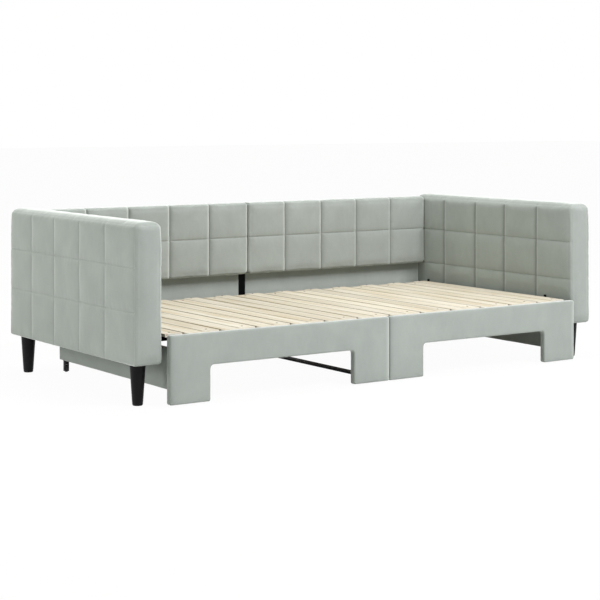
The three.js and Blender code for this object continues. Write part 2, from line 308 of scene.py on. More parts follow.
def lining():
    """Thin black non-woven cloth with its pressed dots."""
    s = Shader("lining")
    fibres = s.noise(1.0, 4.0, 0.8, 0.0, s.stretched((900, 420, 900), (0, 0, 0.6)))
    dots = s.cells(520.0)
    return s.set(
        Base_Color=s.mix("#17181a", "#2f3133", fibres),
        Roughness=0.95,
        Specular_IOR_Level=0.2,
        Normal=s.bump(fibres, 0.0004, 0.6, s.bump(dots, 0.0003, 0.5)),
    )


def zinc(name="zinc", tone="#8b8d8c"):
    """Plated steel of screws, bolts and staples."""
    s = Shader(name)
    stain = s.noise(300.0, 3.0)
    return s.set(
        Base_Color=s.scaled(tone, s.spread(stain, 0.8, 1.1)),
        Metallic=0.9,
        Roughness=s.spread(stain, 0.28, 0.48),
        Normal=s.bump(stain, 0.0001, 0.3),
    )


# ---- Mesh helpers ----
def add_mesh(name, points, faces, material, body, attributes=None, smooth=True):
    """A mesh piece that rides on a body, with float attributes on its points."""
    mesh = bpy.data.meshes.new(name)
    mesh.from_pydata(np.asarray(points).tolist(), [], [list(f) for f in faces])
    for key, values in (attributes or {}).items():
        layer = mesh.attributes.new(key, "FLOAT", "POINT")
        layer.data.foreach_set("value", np.asarray(values, np.float32))
    mesh.materials.append(material)
    mesh.polygons.foreach_set("use_smooth", [smooth] * len(mesh.polygons))
    piece = add_object(name, mesh)
    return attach(piece, body)


def joined(shapes):
    """Several shapes as one. A shape is a pair: its points and its faces."""
    points, faces, count = [], [], 0
    for some, rings in shapes:
        points.append(some)
        faces += [[index + count for index in face] for face in rings]
        count += len(some)
    return np.concatenate(points), faces


def ripples(points, wavelength, seed):
    """Smooth random heights, mostly from -1 to 1."""
    rng = np.random.default_rng(seed)
    total = np.zeros(len(points))
    waves = 12
    for _ in range(waves):
        direction = rng.normal(size=3)
        direction *= 2 * math.pi / wavelength * rng.uniform(0.7, 1.4) / np.linalg.norm(direction)
        total += np.sin(points @ direction + rng.uniform(0, 2 * math.pi))
    return total / math.sqrt(waves)


def smooth_step(value):
    t = np.clip(value, 0, 1)
    return t * t * (3 - 2 * t)


def beyond_nearest(value, marks):
    """How far each value is beyond the nearest mark, negative before it."""
    offsets = np.asarray(value)[:, None] - np.asarray(marks)[None, :]
    return np.take_along_axis(offsets, np.argmin(np.abs(offsets), axis=1)[:, None], axis=1)[:, 0]


def nearest(value, marks):
    """The distance from each value to the nearest mark."""
    return np.abs(beyond_nearest(value, marks))


def painted_light_and_shade(offset, light, dark):
    """Painted highlight before a seam and painted shade beyond it: how much lighter and darker
    the colour is made. Each is given as (share, reach)."""
    lighter = light[0] * np.exp(-((offset / light[1]) ** 2))
    darker = dark[0] * np.exp(-np.abs(offset) / dark[1])
    return np.where(offset < 0, lighter, -darker)


SEAM_STEPS = np.array([0, 0.6, 1.4, 2.5, 4, 6.2, 9.2]) / 1000  # mesh lines beside a seam


def divisions(low, high, seams=(), edge=0.014, step=0.006):
    """Coordinates from low to high, close together at the seams and on the rounded edges."""
    rounding = np.linspace(0, edge, 7)
    marks = [*(low + rounding), *(high - rounding)]
    marks += [s + d for s in seams for d in (*SEAM_STEPS, *-SEAM_STEPS)]
    kept = [low]
    for mark in sorted(m for m in marks if low < m <= high):
        gap = mark - kept[-1]
        if gap > 1.5 * step:
            kept += list(np.linspace(kept[-1], mark, math.ceil(gap / step) + 1)[1:])
        elif gap > 0.0004:
            kept.append(mark)
    kept[-1] = high
    return np.array(kept)


def box_lattice(xs, ys, zs):
    """The surface of a box divided at these coordinates: its points and outward quads."""
    axes = (xs, ys, zs)
    counts = [len(a) for a in axes]
    quads = []
    for axis in range(3):
        u, v = (axis + 1) % 3, (axis + 2) % 3
        i, j = np.meshgrid(range(counts[u] - 1), range(counts[v] - 1), indexing="ij")
        for end in (0, counts[axis] - 1):
            corners = []
            for du, dv in ((0, 0), (1, 0), (1, 1), (0, 1)):
                index = [np.full(i.shape, end)] * 3
                index[u] = i + du
                index[v] = j + dv
                corners.append(np.ravel_multi_index(index, counts))
            ring = np.stack(corners, -1).reshape(-1, 4)
            quads.append(ring if end else ring[:, ::-1])
    used, quads = np.unique(np.concatenate(quads), return_inverse=True)
    lattice = np.unravel_index(used, counts)
    points = np.stack([np.asarray(a)[k] for a, k in zip(axes, lattice)], -1)
    return points, quads.reshape(-1, 4)


def rounded(points, low, high, radius):
    """Points of a box's surface moved onto its rounded edges. Each may have its own radius."""
    radius = np.broadcast_to(radius, len(points))[:, None]
    inner = np.clip(points, np.array(low) + radius, np.array(high) - radius)
    away = points - inner
    return inner + away * radius / np.linalg.norm(away, axis=1)[:, None]


def normals_of(points, quads):
    a, b, c, d = (points[quads[:, k]] for k in range(4))
    face = np.cross(c - a, d - b)
    total = np.zeros_like(points)
    for k in range(4):
        np.add.at(total, quads[:, k], face)
    return total / np.linalg.norm(total, axis=1)[:, None]


FOLD_WIDTH = 0.0022
GATHER, GATHER_HEIGHT = 0.021, 0.0006  # from one gather to the next, and its height


def valley(distance, depth, width):
    """How far a seam pulls soft padding in."""
    return depth * np.exp(-((distance / width) ** 1.5))


def fold(distance, depth):
    """The narrow fold along a seam's stitches."""
    return depth * np.exp(-distance / FOLD_WIDTH)


def puckers(along, distance, seed):
    """Small gathers that run out from a seam."""
    rng = np.random.default_rng(seed)
    turns = 2 * math.pi * along / GATHER + 2.5 * np.sin(along * 31 + rng.uniform(0, 6))
    swell = GATHER_HEIGHT * (0.6 + 0.4 * np.sin(along * 17 + rng.uniform(0, 6)))
    return swell * np.sin(turns) * np.exp(-distance / 0.012) * (1 - np.exp(-distance / 0.002))


# ---- Cloth: the velvet swells between its seams ----
CLOTH_STEP = 0.011  # mesh size of the simulated cloth
CLOTH_FRAMES = 16
CLOTH_ROUNDING = 0.014
CLOTH_SETTINGS = {
    "quality": 4,
    "mass": 0.15,
    "tension_stiffness": 12,
    "compression_stiffness": 12,
    "shear_stiffness": 4,
    "bending_stiffness": 0.3,
    "vertex_group_mass": "sewn",
    "use_pressure": True,
}


def cloth_lines(low, high, seams):
    """Coordinates from low to high about a centimetre apart, with lines on the seams."""
    kept = [low]
    for mark in sorted([low + CLOTH_ROUNDING, *seams, high - CLOTH_ROUNDING, high]):
        gap = mark - kept[-1]
        if gap > 0.002:
            kept += list(np.linspace(kept[-1], mark, max(1, round(gap / CLOTH_STEP)) + 1)[1:])
    kept[-1] = high
    return np.array(kept)


def simulate(points, quads, held, pressure, slack):
    """Where Blender's cloth brings these points, with the held ones sewn down."""
    mesh = bpy.data.meshes.new("cloth")
    mesh.from_pydata(points.tolist(), [], quads.tolist())
    sheet = add_object("cloth", mesh)
    sheet.vertex_groups.new(name="sewn").add(np.flatnonzero(held).tolist(), 1.0, "REPLACE")
    cloth = sheet.modifiers.new("cloth", "CLOTH")
    given = {"uniform_pressure_force": pressure, "shrink_min": -slack}
    for name, value in (CLOTH_SETTINGS | given).items():
        setattr(cloth.settings, name, value)
    cloth.settings.effector_weights.gravity = 0
    cloth.collision_settings.use_collision = False
    cloth.point_cache.frame_end = CLOTH_FRAMES
    for number in range(1, CLOTH_FRAMES + 1):
        bpy.context.scene.frame_set(number)
    done = sheet.evaluated_get(bpy.context.evaluated_depsgraph_get()).to_mesh()
    moved = np.empty(len(points) * 3)
    done.vertices.foreach_get("co", moved)
    bpy.data.objects.remove(sheet)
    bpy.data.meshes.remove(mesh)
    bpy.context.scene.frame_set(1)
    return moved.reshape(-1, 3)


def swelling(flat, low, high, seams, sewn, pressure, slack, limit, seed):
    """How the cloth round a padded box moves at the points flat of the box's surface.
    sewn(points) says which points of the cloth are held down."""
    axes = list(map(cloth_lines, low, high, seams))
    start, quads = box_lattice(*axes)
    rest = rounded(start, low, high, CLOTH_ROUNDING)
    held = sewn(start)
    jitter = np.random.default_rng(seed).normal(scale=0.0002, size=rest.shape)
    move = simulate(rest + jitter * ~held[:, None], quads, held, pressure, slack) - rest
    length = np.linalg.norm(move, axis=1)[:, None]
    move *= limit * np.tanh(length / limit) / np.maximum(length, 1e-9)

    counts = [len(a) for a in axes]
    table = np.full(counts, -1)
    table[tuple(np.searchsorted(axes[k], start[:, k]) for k in range(3))] = np.arange(len(start))
    result = np.zeros_like(flat)
    for axis in range(3):
        u, v = (axis + 1) % 3, (axis + 2) % 3
        for end, level in ((0, low[axis]), (counts[axis] - 1, high[axis])):
            chosen = np.abs(flat[:, axis] - level) < 1e-9
            index, part = [np.full(chosen.sum(), end)] * 3, [None] * 3
            for k in (u, v):
                line, at = axes[k], flat[chosen, k]
                index[k] = np.clip(np.searchsorted(line, at) - 1, 0, counts[k] - 2)
                part[k] = (at - line[index[k]]) / (line[index[k] + 1] - line[index[k]])
            total = 0
            for du, dv in ((0, 0), (1, 0), (0, 1), (1, 1)):
                corner = list(index)
                corner[u], corner[v] = index[u] + du, index[v] + dv
                weight = np.abs(1 - du - part[u]) * np.abs(1 - dv - part[v])
                total = total + weight[:, None] * move[table[tuple(corner)]]
            result[chosen] = total
    return result


# ---- Arms: five columns and three rows of tufted cells inside a plain band ----
ARM_SEAM_INSET = 0.016  # of the seam round the tufted side, from the edge
ARM_ROWS = (0.342, 0.503)  # heights of the level seams
ARM_TUCK = 0.045  # height over which the cover turns under the arm
ARM_PADDING = (0.0025, 0.004, 0.006, -0.002)  # on the outer face, front, rear and top
ARM_COLUMNS = {  # upright seams, from the front of the arm
    "left": (0.237, 0.445, 0.661, 0.866),
    "right": (0.219, 0.431, 0.632, 0.857),
}


def arm_cover(side, sign, material):
    low, high = (np.array(corner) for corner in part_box(f"arm_cover_{side}"))
    inner_face = min(abs(low[0]), abs(high[0]))
    columns = [low[1] + c for c in ARM_COLUMNS[side]]
    outer, front, rear, top = ARM_PADDING
    low += (-outer * (sign < 0), -front, 0)
    high += (outer * (sign > 0), rear, top)
    seam_low, seam_high = low[1] + ARM_SEAM_INSET, high[1] - ARM_SEAM_INSET
    seam_top = high[2] - ARM_SEAM_INSET
    uprights = [seam_low, *columns, seam_high]
    seams = [(), uprights, ARM_ROWS]
    flat, quads = box_lattice(*map(divisions, low, high, seams))
    x, y, z = flat.T
    tucked = 1 - smooth_step((z - low[2]) / ARM_TUCK)
    radius = 0.011 + 0.013 * smooth_step((z - high[2] + 0.09) / 0.09) - 0.003 * tucked
    points = rounded(flat, low, high, radius)
    foot, corner = (np.clip(1 - (z - low[2]) / reach, 0, 1) for reach in (ARM_TUCK, 0.014))
    drawn_in = 0.009 * foot**2 + 0.007 * (1 - np.sqrt(1 - corner**2))
    ends = np.minimum(y - low[1], high[1] - y)
    points[:, 1] += np.sign(low[1] + high[1] - 2 * y) * drawn_in * np.exp(-ends / 0.02)
    normals = normals_of(points, quads)

    def sewn(at):
        px, py, pz = at.T
        on_side = np.minimum(px - low[0], high[0] - px) < 1e-6
        framed = (py > seam_low - 1e-4) & (py < seam_high + 1e-4) & (pz < seam_top + 1e-4)
        on_seam = (nearest(py, uprights) < 1e-4) | (nearest(pz, ARM_ROWS) < 1e-4)
        return (on_side & framed & on_seam) | (pz < low[2] + 0.004)

    outside = sign * (x - (low[0] + high[0]) / 2) > 0  # where the tufting is shallower
    beyond = np.minimum(x - low[0], high[0] - x)  # from the nearest tufted side, on the band
    on_side = beyond < 1e-6
    within = np.minimum(np.minimum(y - seam_low, seam_high - y), seam_top - z)
    stitched = smooth_step(within / 0.003 + 0.5) * on_side
    fade = np.exp(-beyond / 0.006)
    upright, level = nearest(y, columns), nearest(z, ARM_ROWS)
    force = {"pressure": 4.0, "slack": 0.004, "limit": 0.0085}
    swell = swelling(flat, low, high, seams, sewn, seed=3 + sign, **force)
    part = np.where(outside, 0.5, 0.7)
    part += (0.75 - part) * smooth_step(beyond / 0.03)
    points += swell * (part * (1 - 0.7 * tucked))[:, None]
    share_u, share_v = np.where(outside, 0.35, 1.0), np.where(outside, 0.9, 1.0)
    pull_u = share_u * valley(upright, 0.0022, 0.008)
    pull_v = share_v * valley(level, 0.0016, 0.006)
    pull = np.maximum(pull_u, pull_v) + 0.45 * np.minimum(pull_u, pull_v)
    folds = np.maximum(share_u * fold(upright, 0.0016), share_v * fold(level, 0.0012))
    pull = (pull + stitched * folds) * fade
    border = np.where(on_side, np.abs(within), ARM_SEAM_INSET + beyond)
    weak = 1 - smooth_step((z - seam_top + 0.05) / 0.05)  # gone along the top
    pull += weak * (valley(border, 0.0003, 0.008) + fold(border, 0.0006))
    pull -= 0.0005 * ripples(points, 0.13, 3 + sign)
    gathers = puckers(z, upright, 1) + puckers(y, level, 2)
    pull -= stitched * gathers * np.where(outside, 0.45, 0.8)
    under = z < low[2] + 1e-6
    points -= normals * np.where(under, 0.0006, pull)[:, None]

    # On the inner side the cover lies flat against the frame, and beside the back cushion.
    free = smooth_step((z - DECK_TOP - 0.01) / 0.05) * smooth_step((high[1] - 0.09 - y) / 0.05)
    points[:, 0] = sign * np.maximum(np.abs(points[:, 0]), inner_face - 0.0035 * free)
    # painted shade in the seams' creases and along the band's border seam
    crease_shade = stitched * np.exp(-np.minimum(upright, level) / 0.0014)
    crease_shade = np.maximum(crease_shade, 0.5 * weak * np.exp(-border / 0.0014)) * ~under
    # painted highlight and painted shade beside the seams
    behind, above = beyond_nearest(y, columns), beyond_nearest(z, ARM_ROWS)
    outer_painted_light = painted_light_and_shade(behind, (-0.06, 0.007), (0.08, 0.007))
    outer_painted_light += painted_light_and_shade(above, (0.10, 0.009), (0.12, 0.005))
    pile_and_painted_light = np.where(outside, outer_painted_light, painted_light_and_shade(behind, (0.06, 0.007), (0.5, 0.008)))
    marks = {
        "crease_shade": crease_shade,
        "painted_light_shade": stitched * pile_and_painted_light,
        "along": np.where(upright < level, z, y),
    }
    piece = add_mesh(f"arm_upholstery_{side}", points, quads, material, "daybed", marks)
    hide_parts(f"arm_cover_{side}")
    return piece


# ---- Back cushions: five columns and two rows of cells ----
CUSHION_COLUMN = 0.2
CUSHION_ROW = 0.506  # height of the level seam
CUSHION_ROUNDING = 0.012
LOWER_CORNER, UPPER_CORNER = 0.018, 0.012  # radii, seen from the front


def round_corner(points, centre, toward):
    """Turns a square corner of an upright shape into a quarter circle, in x and z."""
    offset = (points[:, [0, 2]] - centre) * toward
    there = np.all(offset > 0, axis=1)
    scale = offset.max(axis=1) / np.where(there, np.hypot(*offset.T), 1)
    moved = centre + toward * offset * scale[:, None]
    points[:, [0, 2]] = np.where(there[:, None], moved, points[:, [0, 2]])


def back_cushion(side, sign, material):
    low, high = (np.array(corner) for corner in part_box(f"back_cushion_{side}"))
    low[0], high[0] = sorted((abs(low[0]), abs(high[0])))  # both are made as the right one
    high[2] -= 0.003
    columns = [low[0] + CUSHION_COLUMN * (k + 1) for k in range(4)]
    seams = [columns, (), (CUSHION_ROW,)]
    flat, quads = box_lattice(*map(divisions, low, high, seams))
    x, y, z = flat.T
    points = rounded(flat, low, high, CUSHION_ROUNDING)
    for end, toward in ((low[0], -1), (high[0], 1)):
        for edge, up, radius in ((low[2], -1, LOWER_CORNER), (high[2], 1, UPPER_CORNER)):
            centre = (end - toward * radius, edge - up * radius)
            round_corner(points, np.array(centre), np.array((toward, up)))
    normals = normals_of(points, quads)

    def sewn(at):
        px, py, pz = at.T
        on_seam = (nearest(px, columns) < 1e-4) | (nearest(pz, [CUSHION_ROW]) < 1e-4)
        at_end = np.minimum(px - low[0], high[0] - px) < 1e-6
        return ((py < low[1] + 1e-6) & on_seam) | (py > high[1] - 1e-6) | at_end

    beyond = y - low[1]
    front = beyond < 1e-6
    fade = np.exp(-beyond / 0.010)
    upright, level = nearest(x, columns), nearest(z, [CUSHION_ROW])
    force = {"pressure": 3.0, "slack": 0.002, "limit": 0.008}
    points += swelling(flat, low, high, seams, sewn, seed=9 + sign, **force)
    pull_u, pull_v = valley(upright, 0.0055, 0.0075), valley(level, 0.0013, 0.004)
    pull = np.maximum(pull_u, pull_v) + 0.4 * np.minimum(pull_u, pull_v)
    pull = (pull + np.maximum(fold(upright, 0.003), fold(level, 0.0016))) * fade
    pull -= front * (0.0004 * ripples(points, 0.12, 7 + sign))
    pull -= front * (puckers(z, upright, 5) + puckers(x, level, 6))
    rear = y > high[1] - 1e-6
    points -= normals * np.where(rear, 0, pull)[:, None]
    points[:, 0] = np.clip(points[:, 0], low[0], high[0])
    points[:, 1] = np.minimum(points[:, 1], high[1])
    # painted shade in the creases, and a painted highlight before each seam with painted shade beyond it
    crease_shade = np.exp(-np.minimum(upright, level) / 0.0014) * fade
    offset = beyond_nearest(x, [low[0], *columns, high[0]]) * sign
    marks = {
        "crease_shade": crease_shade,
        "painted_light_shade": painted_light_and_shade(offset, (0.6, 0.009), (0.16, 0.014)) * fade,
        "along": np.where(upright < level, z, x),
    }
    points[:, 0] *= sign
    name, faces = f"back_cushion_velvet_{side}", quads[:, ::sign]
    piece = add_mesh(name, points, faces, material, "daybed", marks)
    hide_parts(f"back_cushion_{side}")
    return piece


# ---- Covered boards ----
OUTLINE_STEP = 0.012  # mesh size along a board's edge
FACE_STEP = 0.014  # mesh size on its faces
FACE_MARGIN = 0.006  # between the edge and the first points inside a face
PADDING_RISE = 0.02  # distance from the edge over which the padding gets its thickness
BOARD_WAVE = 0.12  # wavelength of the ripples
END_PADDING = 0.0045  # of the outer ends of the front panels and the back boards
# painted light on the back boards' fronts, below the cushions' shadow
PAINTED_LIGHT_BELOW = 0.297  # height on the back boards' front below which painted light makes it paler
PAINTED_LIGHT_RISE = 0.032  # height over which it does
PAINTED_LIGHT_SHARE = 0.34


def left_of(way):
    return np.array([-way[1], way[0]])


def outline(corners, inset):
    """A loop round right-angled corners (x, z, radius), drawn in by inset."""
    places = np.array([corner[:2] for corner in corners])
    ahead = np.roll(places, -1, axis=0) - places
    lengths = np.linalg.norm(ahead, axis=1)
    ahead /= lengths[:, None]
    turns = np.linspace(0, math.pi / 2, 7)[:, None]
    arcs = []
    for k, (*place, radius) in enumerate(corners):
        come, go = ahead[k - 1], ahead[k]
        hollow = come[0] * go[1] - come[1] * go[0] < 0
        centre = place - radius * come + radius * go
        reach = radius + inset if hollow else inset - radius
        arcs.append(centre + reach * (left_of(come) * np.cos(turns) + left_of(go) * np.sin(turns)))
    loop = []
    for arc, following, length in zip(arcs, arcs[1:] + arcs[:1], lengths):
        steps = max(2, round(length / OUTLINE_STEP))
        loop += [*arc, *np.linspace(arc[-1], following[0], steps + 1)[1:-1]]
    return np.array(loop)


def covered_board(
    name, node, body, material, corners, front, back, sign, rounding, puff, seed, painted_light_below=0
):
    """A board covered with velvet: soft edges, and faces slightly raised by the padding.
    Its ends get a painted highlight and painted shade, and below the height of painted_light_below
    its front gets painted light."""
    turns = np.linspace(math.pi / 2, 0, 6)
    insets, sunk = rounding * (1 - np.cos(turns)), rounding * (1 - np.sin(turns))
    rings = [*insets, *insets[::-1]]
    depths = [*(front + sunk), *(back - sunk[::-1])]
    loops = [outline(corners, inset) for inset in rings]
    size = len(loops[0])
    points = [np.column_stack([l[:, 0], np.full(size, d), l[:, 1]]) for l, d in zip(loops, depths)]
    faces = []
    for ring in range(len(rings) - 1):
        for k in range(size):
            a, b = ring * size + k, ring * size + (k + 1) % size
            faces.append([a + size, b + size, b, a])
    edge = loops[0]
    gx = np.arange(edge[:, 0].min() + FACE_STEP, edge[:, 0].max(), FACE_STEP)
    gz = np.arange(edge[:, 1].min() + FACE_STEP, edge[:, 1].max(), FACE_STEP)
    grid = np.stack(np.meshgrid(gx, gz, indexing="ij"), -1).reshape(-1, 2)
    inside = np.zeros(len(grid), bool)
    reach = np.full(len(grid), np.inf)
    for a, b in zip(edge, np.roll(edge, -1, axis=0)):
        crosses = (a[1] > grid[:, 1]) != (b[1] > grid[:, 1])
        if abs(b[1] - a[1]) > 1e-12:
            at = a[0] + (grid[:, 1] - a[1]) / (b[1] - a[1]) * (b[0] - a[0])
            inside ^= crosses & (grid[:, 0] < at)
        way = b - a
        t = np.clip(((grid - a) @ way) / (way @ way), 0, 1)
        reach = np.minimum(reach, np.linalg.norm(grid - a - t[:, None] * way, axis=1))
    kept = inside & (reach > FACE_MARGIN)
    grid, reach = grid[kept], reach[kept]
    flat = [Vector(p) for p in (*edge, *grid)]
    borders = [(k, (k + 1) % size) for k in range(size)]
    _, _, triangles, origins, _, _ = delaunay_2d_cdt(flat, borders, [], 1, 1e-6)
    height = puff * (1 - np.exp(-reach / PADDING_RISE))
    for last, depth, direction in ((0, front, -1), (len(rings) - 1, back, 1)):
        count = sum(len(p) for p in points)
        lift = height + 0.0003 * ripples(np.column_stack([grid, grid[:, 0] * 0]), BOARD_WAVE, seed)
        points.append(np.column_stack([grid[:, 0], depth + direction * lift, grid[:, 1]]))
        for triangle in triangles:
            ids = [origins[v][0] for v in triangle]
            ids = [i + last * size if i < size else i - size + count for i in ids]
            faces.append(ids if direction < 0 else ids[::-1])
    points = np.concatenate(points)
    points[:, 0] *= sign
    if sign < 0:
        faces = [face[::-1] for face in faces]
    ends = [points[:, 0].min(), points[:, 0].max()]
    # painted highlight and painted shade at the board's ends
    pile_and_painted_light = painted_light_and_shade(beyond_nearest(points[:, 0], ends), (0.5, 0.008), (0.24, 0.010))
    in_front = points[:, 1] < (front + back) / 2
    # painted light on the front, below the cushions' shadow
    pile_and_painted_light += PAINTED_LIGHT_SHARE * smooth_step((painted_light_below - points[:, 2]) / PAINTED_LIGHT_RISE) * in_front
    piece = add_mesh(name, points, faces, material, body, {"painted_light_shade": pile_and_painted_light})
    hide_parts(node)
    return piece


def front_panel(side, sign, material):
    low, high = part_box(f"front_panel_{side}")
    near, far = sorted((abs(low.x), abs(high.x)))
    leg, top = 0.172, high.z - 0.1185  # width beside the cut-out, and the cut-out's top
    hollow, foot = 0.015, 0.008  # radii of the cut-out's corners and of the others
    far += END_PADDING
    corners = [
        (near, low.z, foot), (near + leg, low.z, foot),
        (near + leg, top, hollow), (far - leg, top, hollow),
        (far - leg, low.z, foot), (far, low.z, foot),
        (far, high.z, foot), (near, high.z, foot),
    ]
    covered_board(
        f"front_panel_velvet_{side}", f"front_panel_{side}", "trundle", material, corners,
        low.y, high.y, sign, rounding=0.007, puff=0.0012, seed=11 + sign,
    )


def back_board(side, sign, material):
    low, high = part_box(f"back_board_{side}")
    near, far = sorted((abs(low.x), abs(high.x)))
    post, shelf = 0.017, 0.3425  # half the notch round the post, and its top
    radius, hollow = 0.004, 0.003  # of the corners, and of the notch's inner one
    far += END_PADDING
    corners = [
        (post, low.z, radius), (far, low.z, radius),
        (far, high.z, radius), (near, high.z, radius),
        (near, shelf, radius), (post, shelf, hollow),
    ]
    covered_board(
        f"back_board_velvet_{side}", f"back_board_{side}", "daybed", material, corners,
        low.y, high.y, sign, rounding=0.003, puff=0.0002, seed=15 + sign, painted_light_below=PAINTED_LIGHT_BELOW,
    )


def side_board(side, sign, material):
    low, high = (np.array(corner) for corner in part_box(f"side_board_{side}"))
    axes = [divisions(low[k], high[k], edge=0.008, step=0.012) for k in range(3)]
    flat, quads = box_lattice(*axes)
    points = rounded(flat, low, high, 0.0035)
    normals = normals_of(points, quads)
    inside = np.minimum(flat - low, high - flat)
    inside[:, 0] = 1
    depth = np.min(inside, axis=1)
    lift = 0.001 * (1 - np.exp(-depth / PADDING_RISE))
    lift += 0.0002 * ripples(points, BOARD_WAVE, 21 + sign)
    points += normals * lift[:, None]
    piece = add_mesh(f"side_board_velvet_{side}", points, quads, material, "trundle")
    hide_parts(f"side_board_{side}")
    return piece


# ---- Turned pieces ----
def turned(profile, centre, axis=(0, 0, 1), segments=24):
    """The shape of a closed profile of (radius, height) turned about an axis.
    A third number in the profile gives the depth of four lobes round it."""
    basis = Vector(axis).to_track_quat("Z", "Y").to_matrix()
    turns = np.linspace(0, 2 * math.pi, segments, endpoint=False)
    points, faces = [], []
    for radius, height, *wave in profile:
        reach = radius * (1 + (wave[0] if wave else 0) * np.cos(4 * turns))
        ring = np.column_stack([reach * np.cos(turns), reach * np.sin(turns), np.full(segments, height)])
        points.append(ring)
    for k in range(len(profile) - 1):
        for i in range(segments):
            a, b = k * segments + i, k * segments + (i + 1) % segments
            faces.append([a, b, b + segments, a + segments])
    faces.append(list(range(segments))[::-1])
    faces.append([(len(profile) - 1) * segments + i for i in range(segments)])
    points = np.concatenate(points) @ np.array(basis).T + np.array(centre)
    return points, faces


LEG_PROFILE = (  # radius and height
    (0.0160, 0.0000),
    (0.0175, 0.0004),
    (0.0175, 0.0022),
    (0.0188, 0.0026),
    (0.0195, 0.0040),
    (0.0198, 0.0085),
    (0.0193, 0.0092),
    (0.0194, 0.0100),
    (0.0202, 0.0107),
    (0.0289, 0.1400),
    (0.0293, 0.1480),
    (0.0291, 0.1492),
    (0.0283, 0.1497),
)


def leg(name, material):
    low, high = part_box(name)
    middle = (low + high) / 2
    shape = turned(LEG_PROFILE, (middle.x, middle.y, 0), segments=64)
    piece = add_mesh(f"turned_{name}", *shape, material, "daybed")
    piece.modifiers.new("edges", "EDGE_SPLIT").split_angle = math.radians(40)
    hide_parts(name)


SCREW_PROFILE = (
    (0.0040, -0.0006),
    (0.0043, 0.0002),
    (0.0037, 0.0008),
    (0.0019, 0.0010, 0.45),
    (0.0016, 0.0000, 0.45),
)


def slat_screws(name, slats, places, body, material):
    """One screw at each of these distances from the arms' front, on the middle of each slat."""
    parts = []
    for slat in slats:
        low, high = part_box(slat)
        for place in places:
            parts.append(turned(SCREW_PROFILE, ((low.x + high.x) / 2, ARM_FRONT + place, high.z)))
    add_mesh(name, *joined(parts), material, body, smooth=False)


def plate(low, high, radius=0.0006):
    """The shape of a small plate with rounded edges."""
    steps = np.array([0, 0.35, 1]) * radius
    flat, quads = box_lattice(*[[*(a + steps), *(b - steps[::-1])] for a, b in zip(low, high)])
    return rounded(flat, low, high, radius), quads.tolist()


WHEEL_GAP = 0.001  # between a wheel and the cheeks of its fork
CHEEK, CHEEK_REACH = 0.0025, 0.0100  # thickness of a cheek, and its length on each side of the axle
CHEEK_FOOT = 0.0035  # height of its lower end
CASTER_PLATE = 0.003  # thickness of the plate and the flange
AXLE_PROFILE = ((0.0026, 0.0006), (0.0030, 0.0002))  # radius, and distance from the cheeks


def caster_fork(where, material):
    """A moulded fork whose cheeks come down beside the wheel nearly to the floor.
    The middle casters have a wider plate, with a flange to an upright board."""
    name = f"caster_fork_{where}"
    low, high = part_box(name)
    wheel_low, wheel_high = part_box(f"caster_wheel_{where}")
    axle = (wheel_low + wheel_high) / 2
    inner = wheel_high.x - axle.x + WHEEL_GAP
    outer, roof = inner + CHEEK, wheel_high.z + 0.002
    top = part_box("caster_fork_rear_left")[1].z
    x, y = axle.x, axle.y
    front, rear = y - CHEEK_REACH, y + CHEEK_REACH
    axle_half = [(radius, outer + past) for radius, past in AXLE_PROFILE]
    parts = [
        plate((x - outer, front, CHEEK_FOOT), (x - inner, rear, top - 0.001), 0.0011),
        plate((x + inner, front, CHEEK_FOOT), (x + outer, rear, top - 0.001), 0.0011),
        plate((x - inner - 0.001, front + 0.0012, roof), (x + inner + 0.001, rear - 0.0012, top)),
        turned([(r, -d) for r, d in axle_half] + axle_half[::-1], axle, (1, 0, 0)),
    ]
    under = top - CASTER_PLATE
    if high.z > top:
        flange = (high.y - CASTER_PLATE) if "rear" in where else low.y
        parts.append(plate((low.x, low.y, under), (high.x, high.y, top)))
        parts.append(plate((low.x, flange, under), (high.x, flange + CASTER_PLATE, high.z)))
    else:
        parts.append(plate((x - outer, front - 0.002, under), (x + outer, rear + 0.002, top)))
    piece = add_mesh(f"caster_housing_{where}", *joined(parts), material, "trundle")
    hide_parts(name)


def caster_wheel(where, material):
    """A tyre with rounded shoulders, round a hub that lies a little deeper."""
    name = f"caster_wheel_{where}"
    low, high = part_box(name)
    radius, half = (high.z - low.z) / 2, (high.x - low.x) / 2
    shoulder = [
        (radius - 0.0062, 0.0010 - half),
        (radius - 0.0054, -half),
        (radius - 0.0020, -half),
        (radius - 0.0006, 0.0008 - half),
        (radius, 0.0024 - half),
    ]
    profile = shoulder + [(reach, -along) for reach, along in shoulder[::-1]]
    shape = turned(profile, (low + high) / 2, (1, 0, 0), segments=64)
    piece = add_mesh(f"caster_tyre_{where}", *shape, material, f"wheel_{where}")
    piece.modifiers.new("edges", "EDGE_SPLIT").split_angle = math.radians(40)
    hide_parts(name)


WELD_STEP = 0.0008
WELD_TURNS = 3300  # radians of the ripples in a metre


def weld_bead(start, end, radius, seed):
    """The shape of a rippled bead of weld from start to end."""
    start, end = np.array(start), np.array(end)
    length = np.linalg.norm(end - start)
    count = max(9, round(length / WELD_STEP))
    profile = []
    for k in range(count + 1):
        t = k / count
        taper = math.sqrt(max(0.02, 1 - abs(2 * t - 1) ** 6))
        ripple = 1 + 0.16 * math.sin(seed + length * t * WELD_TURNS)
        profile.append((radius * taper * ripple, length * t))
    return turned(profile, start, end - start, 10)


BRACKETS = (0.159, 0.9715)  # distances from the arms' front
BRACKET_HALF = 0.0068  # half their width, and their height above the deck


